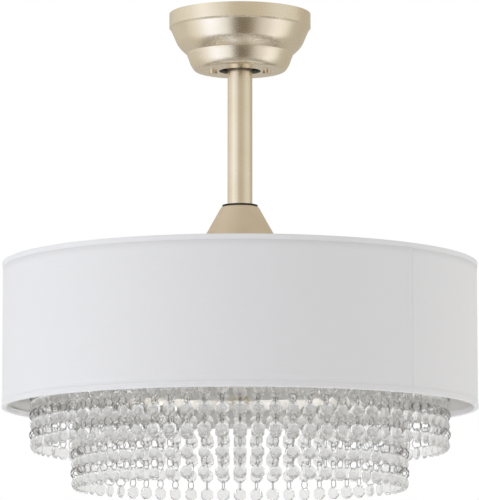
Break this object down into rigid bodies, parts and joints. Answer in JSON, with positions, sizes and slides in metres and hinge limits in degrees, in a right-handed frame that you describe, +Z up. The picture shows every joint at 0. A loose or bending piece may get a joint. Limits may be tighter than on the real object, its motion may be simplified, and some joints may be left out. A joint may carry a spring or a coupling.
{
  "type": "chandelier ceiling fan",
  "caption": "Ceiling fan with its blades and lamps inside a white drum shade, over two tiers of hanging octagon crystal strands, on a champagne gold downrod and canopy.",
  "frame": {"origin": "middle of the ceiling plane, on the face of the hanger bracket's plate", "axes": "+Z up, out of the bracket's plate into the ceiling; +Y away from the viewer of the front; the outlet box screws lie along X"},
  "size_m": [0.5079, 0.508, 0.5138],
  "materials": {
    "champagne_metal": "satin champagne gold plate",
    "cone_satin": "matt champagne lacquer",
    "gold_frame": "satin gold lacquer",
    "white_frame": "white stoved enamel",
    "zinc_steel": "zinc plated",
    "bearing_steel": "ground",
    "seat_nylon": "moulded",
    "seal_rubber": "moulded",
    "shade_fabric": "woven polyester",
    "shade_hem": "folded woven polyester",
    "shade_lining": "calendered",
    "core_steel": "stamped",
    "copper": "enamelled wire",
    "magnet": "pressed",
    "motor_shell": "die cast",
    "blade_plastic": "moulded",
    "pan_enamel": "white enamel",
    "lamp_ceramic": "glazed",
    "lamp_brass": "rolled",
    "bulb_glass": "frosted",
    "crystal": "pressed and fire polished",
    "ring_wire": "nickel plated wire"
  },
  "bodies": {
    "ceiling_mount": {"hanger_bracket": "zinc_steel", "canopy": "champagne_metal", "canopy_screws": "champagne_metal", "receiver_box": "seat_nylon"},
    "ball_seat": {"ball_seat_liner": "seat_nylon"},
    "hanging_frame": {"hanger_ball": "seat_nylon", "hanger_pin": "zinc_steel", "ball_set_screw": "zinc_steel", "downrod": "champagne_metal", "cone_seal": "seal_rubber", "cone_cover": "cone_satin", "motor_coupling": "zinc_steel", "coupling_pin": "zinc_steel", "coupling_clip": "zinc_steel", "coupling_set_screws": "zinc_steel", "coupling_bolts": "zinc_steel", "coupling_nuts": "zinc_steel", "shade_spider": "gold_frame", "shade_top_ring": "white_frame", "shade_bottom_ring": "white_frame", "shade_lining": "shade_lining", "shade_fabric": "shade_fabric", "shade_top_hem": "shade_hem", "shade_bottom_hem": "shade_hem", "motor_shaft": "zinc_steel", "motor_lock_nut": "zinc_steel", "shaft_spacers": "zinc_steel", "stator_core": "core_steel", "stator_windings": "copper", "bearing_inner_races": "bearing_steel", "light_pan": "pan_enamel", "pan_nut": "zinc_steel", "lamp_brackets": "zinc_steel", "lamp_holders": "lamp_ceramic", "bulb_bases": "lamp_brass", "bulb_globes": "bulb_glass", "drop_pipe": "gold_frame", "crystal_frame": "gold_frame", "frame_nut": "gold_frame", "finial": "gold_frame", "outer_hoop": "white_frame", "inner_hoop": "white_frame", "outer_tier_beads": "crystal", "outer_tier_rings": "ring_wire", "inner_tier_beads": "crystal", "inner_tier_rings": "ring_wire"},
    "fan_rotor": {"rotor_top_shell": "motor_shell", "rotor_bottom_shell": "motor_shell", "rotor_magnets": "magnet", "bearing_outer_races": "bearing_steel", "bearing_balls": "bearing_steel", "blade_1": "blade_plastic", "blade_2": "blade_plastic", "blade_3": "blade_plastic", "blade_4": "blade_plastic", "blade_5": "blade_plastic", "blade_screws": "zinc_steel"}
  },
  "joints": [
    {"name": "sway_x", "type": "hinge", "parent": "ceiling_mount", "child": "ball_seat", "pos_m": [0, 0, -0.036], "axis": [1, 0, 0], "range_deg": [-10, 10]},
    {"name": "sway_y", "type": "hinge", "parent": "ball_seat", "child": "hanging_frame", "pos_m": [0, 0, -0.036], "axis": [0, 1, 0], "range_deg": [-10, 10]},
    {"name": "fan_spin", "type": "hinge", "parent": "hanging_frame", "child": "fan_rotor", "pos_m": [0, 0, -0.303], "axis": [0, 0, 1], "continuous": true}
  ]
}
